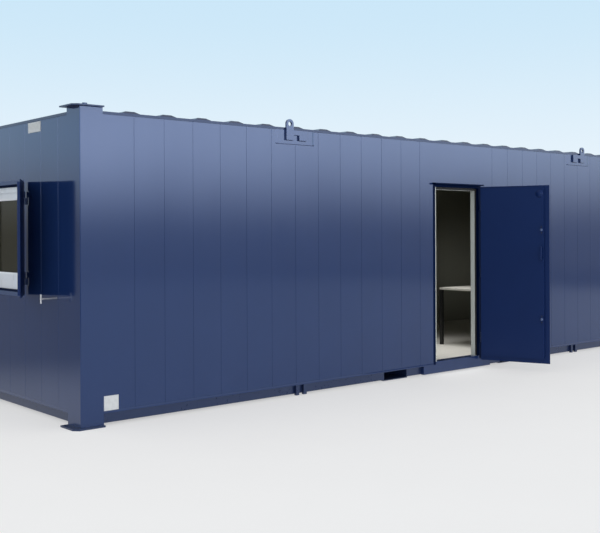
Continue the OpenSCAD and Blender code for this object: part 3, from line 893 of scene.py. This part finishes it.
class CABIN_OT_door_gasket(bpy.types.Operator):
    """Adds the rubber gasket on the stop of the inner frame, at the hinges and the head; its black
    rubber is also painted shade for the shade that falls on the stop beside the open leaf and under
    the head
    """

    bl_idname = "cabin.door_gasket"
    bl_label = "Door Gasket"

    def strip(self, name, low, high):
        """A flat strip with a raised lip along its middle."""
        piece = start_block(name, low, high)
        pick_faces(piece, facing(OUT_FRONT))
        bpy.ops.mesh.inset(thickness=LIP_INSET)
        raise_face(OUT_FRONT * LIP_HEIGHT)
        leave_edit()
        soften(LIP_ROUNDING)
        return piece

    def execute(self, context):
        depth = context.scene.cabin_trim.gasket_depth
        frame_low, frame_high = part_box("door_frame")
        stop_y = frame_high.y
        hinge_x = frame_high.x - JAMB_WIDTH
        turn_x = hinge_x - STOP_WIDTH + GASKET_GAP
        lock_x = frame_low.x + JAMB_WIDTH + STRIP_WIDTH + GASKET_GAP
        head_z = frame_high.z - JAMB_WIDTH
        top_z = head_z - GASKET_GAP
        foot_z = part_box("door_sill")[1].z + GASKET_FOOT_GAP
        # The black strips are partly a real gasket and partly painted shade on the shaded stop
        hinge = self.strip(
            "door_gasket",
            (turn_x, stop_y - depth, foot_z),
            (hinge_x - GASKET_GAP, stop_y, top_z),
        )
        head = self.strip(
            "head_gasket",
            (lock_x, stop_y - depth, head_z - STOP_WIDTH + GASKET_GAP),
            (turn_x, stop_y, top_z),
        )
        fit(join([hinge, head], "door_gasket"), "cabin", "rubber")
        return {"FINISHED"}


LOCK_LENGTH, LOCK_SCREW_REACH, LOCK_SCREW_SCALE = 0.090, 0.034, 0.8
STRAP_SHARES, STRAP_RISE = (0.1, 0.48, 0.86), 0.091
STRAP_LENGTH, STRAP_THICK, STRAP_BOLT_INSETS = 0.060, 0.006, (0.028, 0.048)
ROSE_RADIUS, ROSE_THICK, ROSE_LEDGE = 0.016, 0.005, 0.005
KNOB_HEIGHT, KNOB_FLATTEN, KNOB_ROUNDING = 0.012, (0.45, 1.0, 1.3), 0.0008


class CABIN_OT_door_gear(bpy.types.Operator):
    """Adds the turn knobs and screws of the door's locks and the bolts of its hinge straps"""

    bl_idname = "cabin.door_gear"
    bl_label = "Door Gear"

    def knob(self, name, face, out):
        """A round rose with a flat turn piece."""
        rose = start_rod(name, face, face + out * ROSE_THICK, ROSE_RADIUS, sides=24)
        pick_faces(rose, facing(out))
        bpy.ops.mesh.inset(thickness=ROSE_LEDGE)
        raise_face(out * KNOB_HEIGHT)
        bpy.ops.transform.resize(value=KNOB_FLATTEN)
        leave_edit()
        soften(KNOB_ROUNDING)
        return rose

    def execute(self, context):
        radius = context.scene.cabin_trim.screw_radius
        low, high = shut_box("door_locks", DOOR_TURN)
        middle_x = (low.x + high.x) / 2
        knobs, screws = [], []
        for middle_z in (low.z + LOCK_LENGTH / 2, high.z - LOCK_LENGTH / 2):
            face = Vector((middle_x, high.y, middle_z))
            for up in (-1, 1):
                spot = face + UP * up * LOCK_SCREW_REACH
                screws.append(screw_head("lock_screw", spot, INWARD, radius * LOCK_SCREW_SCALE))
            knobs.append(self.knob("turn_knob", face, INWARD))
        strap_low, _ = shut_box("door_hinge_straps", DOOR_TURN)
        leaf_low, leaf_high = shut_box("door_leaf", DOOR_TURN)
        for share in STRAP_SHARES:
            strap_z = leaf_low.z + share * (leaf_high.z - leaf_low.z) + STRAP_RISE
            for inset in STRAP_BOLT_INSETS:
                x = strap_low.x + STRAP_LENGTH - inset
                spot = Vector((x, leaf_low.y - STRAP_THICK, strap_z))
                knobs.append(screw_head("strap_bolt", spot, OUT_FRONT, radius))
        groups = ((knobs, "door_knobs", "frame_paint"), (screws, "door_screws", "rubber"))
        for pieces, name, material in groups:
            whole = join(pieces, name)
            whole.matrix_world = DOOR_TURN
            bake_place()
            fit(whole, "door", material)
        return {"FINISHED"}


BEAD_THICK, BEAD_FALL = 0.009, 0.005
GASKET_THICK, GASKET_FALL = 0.0035, 0.0015
ON_PLANE = 1e-5


class CABIN_OT_glazing(bpy.types.Operator):
    """Adds the sloped beads and the rubber gaskets round the glass of both windows"""

    bl_idname = "cabin.glazing"
    bl_label = "Glazing Beads"

    def ring(self, name, low, high, width, thick, fall):
        """A frame on the glass of the left window that falls towards the glass."""
        bpy.ops.object.select_all(action="DESELECT")
        bpy.ops.mesh.primitive_plane_add(
            size=1, location=(low + high) / 2, rotation=(0, -math.pi / 2, 0)
        )
        bpy.context.object.scale = (high.z - low.z, high.y - low.y, 1)
        piece = start(name)
        pick_faces(piece, lambda face: True)
        bpy.ops.mesh.inset(thickness=width)
        bpy.ops.mesh.delete(type="FACE")
        bpy.ops.mesh.select_all(action="SELECT")
        raise_face(OUT_LEFT * thick)
        bpy.ops.mesh.select_all(action="SELECT")
        bpy.ops.mesh.normals_make_consistent(inside=False)
        leave_edit()
        near = low.x - thick

        def inner_rim(point):
            """True for a point on the near face, at the inner edge of the ring."""
            return (
                abs(point.x - near) < ON_PLANE
                and low.y + width / 2 < point.y < high.y - width / 2
                and low.z + width / 2 < point.z < high.z - width / 2
            )

        pick_edges(piece, inner_rim)
        bpy.ops.transform.translate(value=(fall, 0, 0))
        leave_edit()
        return piece

    def execute(self, context):
        trim = context.scene.cabin_trim
        low, glass_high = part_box("window_glass")
        high = Vector((low.x, glass_high.y, glass_high.z))
        bead = self.ring("left_glazing_bead", low, high, trim.bead_width, BEAD_THICK, BEAD_FALL)
        step = Vector((0, trim.bead_width, trim.bead_width))
        gasket = self.ring(
            "left_gasket", low + step, high - step, trim.gasket_width, GASKET_THICK, GASKET_FALL
        )
        other = mirror_at(X_AXIS, CABIN_MID.x)
        far_bead = copy_piece(bead, "right_glazing_bead", other)
        far_gasket = copy_piece(gasket, "right_gasket", other)
        for piece in (bead, far_bead):
            fit(piece, "cabin", "white_plastic")
        for piece in (gasket, far_gasket):
            fit(piece, "cabin", "rubber")
        return {"FINISHED"}


TAPE_WIDTH, TAPE_RIM, TAPE_HOLLOW, TAPE_ROUNDING = 0.039, 0.006, 0.4, 0.0005


class CABIN_OT_shutter_seals(bpy.types.Operator):
    """Adds the dark tapes above and below the windows that the shutters close on; their near-black
    dull paint is painted shade for the shaded bands above and below the windows
    """

    bl_idname = "cabin.shutter_seals"
    bl_label = "Shutter Seals"

    def tape(self, name, low, high, thick):
        """A flat tape with a hollow face."""
        piece = start_block(name, low, high)
        pick_faces(piece, facing(OUT_LEFT))
        bpy.ops.mesh.inset(thickness=TAPE_RIM)
        bpy.ops.transform.translate(value=(thick * TAPE_HOLLOW, 0, 0))
        leave_edit()
        soften(TAPE_ROUNDING, 1)
        return piece

    def execute(self, context):
        thick = context.scene.cabin_trim.tape_thick
        low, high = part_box("window_surrounds")
        near_x = FACE_X - thick
        # The tapes are real seals, but their near-black paint is painted shade for the shaded bands
        # round the windows
        upper = self.tape(
            "upper_shade_tape", (near_x, low.y, high.z), (FACE_X, high.y, high.z + TAPE_WIDTH), thick
        )
        lower = self.tape(
            "lower_shade_tape", (near_x, low.y, low.z - TAPE_WIDTH), (FACE_X, high.y, low.z), thick
        )
        left = join([upper, lower], "left_shutter_seals_and_shade")
        right = copy_piece(left, "right_shutter_seals_and_shade", mirror_at(X_AXIS, CABIN_MID.x))
        for piece in (left, right):
            fit(piece, "cabin", "trim_paint")
        return {"FINISHED"}


LUG_FOOT, LUG_SECOND_FOOT, LUG_NOTCH, LUG_END = 0.094, 0.098, 0.052, 0.385
PAD_LENGTH, WELD_TOP_GAP, WELD_TAPER, WELD_STRETCH = 0.5, 0.002, 0.4, 0.004


class CABIN_OT_welds(bpy.types.Operator):
    """Adds the weld beads round the lifting lugs and their doubler plates"""

    bl_idname = "cabin.welds"
    bl_label = "Lug Welds"

    def bead(self, first, second, radius):
        """A bead with rounded ends."""
        piece = start_rod("weld", first, second, radius, sides=10)
        along = (Vector(second) - Vector(first)).normalized()
        pick_faces(piece, lambda face: abs(face.normal.dot(along)) > ALIGNED)
        bpy.ops.mesh.inset(thickness=radius * WELD_TAPER, use_individual=True)
        bpy.ops.transform.resize(value=[1 + WELD_STRETCH * abs(part) for part in along])
        leave_edit()
        return piece

    def execute(self, context):
        radius = context.scene.cabin_trim.weld_radius
        lug_low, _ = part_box("lifting_lugs")
        pad_low, pad_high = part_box("lug_doublers")
        front, foot, top = pad_low.y, lug_low.z, pad_high.z - WELD_TOP_GAP
        left, right = lug_low.x, pad_low.x + LUG_END
        notch_left, notch_right = left + LUG_FOOT, right - LUG_SECOND_FOOT
        notch_top = foot + LUG_NOTCH
        lines = [
            ((left, front, foot), (notch_left, front, foot)),
            ((notch_right, front, foot), (right, front, foot)),
            ((left, front, foot), (left, front, top)),
            ((right, front, foot), (right, front, top)),
            ((notch_left, front, foot), (notch_left, front, notch_top)),
            ((notch_right, front, foot), (notch_right, front, notch_top)),
            ((pad_low.x, FACE_Y, pad_low.z), (pad_low.x + PAD_LENGTH, FACE_Y, pad_low.z)),
        ]
        beads = [self.bead(first, second, radius) for first, second in lines]
        near_left = join(beads, "lug_welds_front_left")
        ends, sides = mirror_at(X_AXIS, CABIN_MID.x), mirror_at(Y_AXIS, CABIN_MID.y)
        welds = [
            near_left,
            copy_piece(near_left, "lug_welds_front_right", ends),
            copy_piece(near_left, "lug_welds_back_left", sides),
            copy_piece(near_left, "lug_welds_back_right", ends @ sides),
        ]
        for piece in welds:
            fit(piece, "cabin", "weld")
        return {"FINISHED"}


RIB_PITCH, RIB_GAPS = 0.38, 23
ROOF_SCREW_INSET, ROOF_SCREW_SCALE, ROOF_THICK = 0.045, 1.2, 0.006


class CABIN_OT_roof_screws(bpy.types.Operator):
    """Adds the washered screws between the roof ribs along both long edges"""

    bl_idname = "cabin.roof_screws"
    bl_label = "Roof Screws"

    def execute(self, context):
        radius = context.scene.cabin_trim.screw_radius * ROOF_SCREW_SCALE
        z = CABIN_LOW.z + ROOF_THICK
        screws = []
        for i in range(RIB_GAPS):
            x = CABIN_MID.x + (i - (RIB_GAPS - 1) / 2) * RIB_PITCH
            for y in (CABIN_LOW.y + ROOF_SCREW_INSET, CABIN_HIGH.y - ROOF_SCREW_INSET):
                screws.append(screw_head("roof_screw", Vector((x, y, z)), UP, radius))
        fit(join(screws, "roof_screws"), "cabin", "zinc")
        return {"FINISHED"}


FLOOR_RADIUS, FLOOR_CLEAR_FROM, FLOOR_CLEAR_TO, FLOOR_GLOW = 60, 16.0, 40.0, 0.5
# The pale ellipse of floor in front of the cabin is a painted pool of light; outside it the floor
# is painted shade
POOL_X, POOL_Y, POOL_LENGTH, POOL_DEPTH, POOL_EDGE = 6.0, -10.0, 12.0, 13.0, 1.3
SKY_LIGHT = (0.99, 0.995, 1.0)
SKY_UNDER = (0.72, 0.72, 0.72)
SIDE_HAZE, FRONT_HAZE = 0.28, 0.47
BEHIND_X, BEHIND_Y = 0.65, 0.76
LINING_LAMP_SHARE = 0.03


class CABIN_OT_stage(bpy.types.Operator):
    """Adds the pale floor, the sky light, the lamps in the room and the camera"""

    bl_idname = "cabin.stage"
    bl_label = "Stage"

    def lay_floor(self, stage):
        """A pale floor with a painted pool of light in front of the cabin and painted shade in grey
        beyond it, which then clears to the backdrop.
        """
        bpy.ops.object.select_all(action="DESELECT")
        bpy.ops.mesh.primitive_circle_add(
            vertices=96,
            radius=FLOOR_RADIUS,
            fill_type="NGON",
            location=(CABIN_MID.x, CABIN_MID.y, 0),
        )
        floor = start("floor")
        material, finish = new_finish("floor")
        place = finish.place()
        x, y, _ = finish.axes(place)
        away = finish.reach(x - CABIN_MID.x, y - CABIN_MID.y)
        grain = finish.noise(place, scale=1.3, detail=4.0)
        pale = finish.shade(grain, stage.floor, 0.99, 1.01)
        # Painted pool of light in front of the cabin, painted shade in grey beyond it
        pool = finish.reach((x - POOL_X) / POOL_LENGTH, (y - POOL_Y) / POOL_DEPTH)
        past_light_pool = finish.fade(pool, low=1.0, high=POOL_EDGE)
        colour = finish.blend(past_light_pool, pale, opaque(stage.shaded_far_floor))
        ground = finish.node(
            "ShaderNodeBsdfPrincipled",
            inputs={"Base Color": colour, "Roughness": 0.9, "Specular IOR Level": 0.1},
        )
        glow = finish.node("ShaderNodeEmission", inputs={"Color": colour, "Strength": 1.0})
        ground = finish.mix(finish.seen_ray() * FLOOR_GLOW, ground, glow)
        edge = finish.fade(away, low=FLOOR_CLEAR_FROM, high=FLOOR_CLEAR_TO)
        clear = finish.node("ShaderNodeBsdfTransparent")
        finish.node_out("ShaderNodeOutputMaterial", finish.mix(edge, ground, clear))
        floor.data.materials.append(material)

    def hang_sky(self, stage):
        """A sky that is bright low down in front of the cabin, with a backdrop behind it."""
        world = bpy.data.worlds.new("sky")
        world.use_nodes = True
        bpy.context.scene.world = world
        finish = Finish(world.node_tree)
        direction = finish.node("ShaderNodeTexCoord", output="Generated")
        x, y, z = finish.axes(direction)
        above_floor = finish.fade(z, low=-0.33, high=-0.02)
        low = finish.blend(above_floor, opaque(SKY_UNDER), opaque(stage.sky_low))
        backdrop = finish.blend(finish.fade(z, low=0.0, high=0.26), low, opaque(stage.sky_top))
        wave = finish.noise(direction, scale=7.0, detail=3.0)
        rise = finish.fade(z + wave * 0.05, low=0.020, high=0.130)
        front = finish.fade(0.0 - y, low=0.05, high=1.0)
        left = finish.fade(0.0 - x, low=0.45, high=0.9) * stage.left_light
        high = finish.fade(z, low=0.115, high=0.24)
        haze = SIDE_HAZE + front * FRONT_HAZE
        low_sky = stage.side_light + front * (stage.front_light - stage.side_light)
        band = haze + rise * (low_sky - haze)
        strength = (band + left * rise) * (1.0 - high) + high * stage.top_light
        blue = rise * (1.0 - front) * (1.0 - high)
        light = finish.blend(blue, opaque(SKY_LIGHT), opaque(stage.sky_top))
        glow = finish.node("ShaderNodeBackground", inputs={"Color": light, "Strength": strength})
        beyond = finish.node("ShaderNodeBackground", inputs={"Color": backdrop, "Strength": 1.0})
        behind = finish.fade(x * BEHIND_X + y * BEHIND_Y, low=0.55, high=0.85)
        finish.node_out("ShaderNodeOutputWorld", finish.mix(behind, glow, beyond))

    def hang_lamp(self, name, place, aim, size, spread, power):
        """A soft lamp in the room, turned to a point of what shows through the doorway."""
        turn = (Vector(aim) - Vector(place)).to_track_quat("-Z", "Y").to_euler()
        bpy.ops.object.light_add(type="AREA", location=place, rotation=turn)
        lamp = bpy.context.object
        lamp.name = name
        lamp.data.size = size
        lamp.data.spread = math.radians(spread)
        lamp.data.energy = power

    def set_camera(self, stage):
        """A camera at the place that the photo was taken from."""
        lens = bpy.data.cameras.new("camera")
        lens.sensor_fit = "HORIZONTAL"
        lens.sensor_width = SENSOR_WIDTH
        lens.lens = stage.focal_pixels / PHOTO_WIDTH * lens.sensor_width
        lens.shift_y = -stage.horizon_rise / PHOTO_WIDTH
        lens.clip_end = VIEW_REACH
        camera = bpy.data.objects.new("camera", lens)
        bpy.context.collection.objects.link(camera)
        turn = Matrix.Rotation(-stage.heading, 4, "Z") @ Matrix.Rotation(math.pi / 2, 4, "X")
        place = Matrix.Translation(stage.camera_place)
        camera.matrix_world = place @ turn @ Matrix.Rotation(stage.roll, 4, "Z")
        bpy.context.scene.camera = camera

    def execute(self, context):
        stage = context.scene.cabin_stage
        self.lay_floor(stage)
        self.hang_sky(stage)
        self.hang_lamp(
            "floor_lamp",
            place=(5.4, 0.75, 2.45),
            aim=(5.4, 0.75, 0),
            size=1.2,
            spread=70,
            power=stage.room_light,
        )
        self.hang_lamp(
            "lining_lamp",
            place=(6.9, 0.5, 1.0),
            aim=(8.6, 3.05, 1.0),
            size=0.3,
            spread=35,
            power=stage.room_light * LINING_LAMP_SHARE,
        )
        self.set_camera(stage)
        context.scene.view_settings.view_transform = "Standard"
        return {"FINISHED"}


class CABIN_PT_dressing(bpy.types.Panel):
    """Lists the steps that dress the cabin"""

    bl_idname = "CABIN_PT_dressing"
    bl_label = "Site Cabin"
    bl_space_type = "VIEW_3D"
    bl_region_type = "UI"
    bl_category = "Cabin"

    def draw(self, context):
        for step in STEPS:
            self.layout.operator(step.bl_idname)


GROUPS = {"cabin_finish": CabinFinish, "cabin_trim": CabinTrim, "cabin_stage": CabinStage}
STEPS = (
    CABIN_OT_finishes,
    CABIN_OT_bare_plates,
    CABIN_OT_door_gasket,
    CABIN_OT_door_gear,
    CABIN_OT_glazing,
    CABIN_OT_shutter_seals,
    CABIN_OT_welds,
    CABIN_OT_roof_screws,
    CABIN_OT_stage,
)


def register():
    for name, group in GROUPS.items():
        bpy.utils.register_class(group)
        setattr(bpy.types.Scene, name, bpy.props.PointerProperty(type=group))
    for step in STEPS:
        bpy.utils.register_class(step)
    bpy.utils.register_class(CABIN_PT_dressing)


def unregister():
    bpy.utils.unregister_class(CABIN_PT_dressing)
    for step in reversed(STEPS):
        bpy.utils.unregister_class(step)
    for name, group in reversed(GROUPS.items()):
        delattr(bpy.types.Scene, name)
        bpy.utils.unregister_class(group)


def main():
    register()
    for step in STEPS:
        group, name = step.bl_idname.split(".")
        getattr(getattr(bpy.ops, group), name)()


if __name__ == "__main__":
    main()
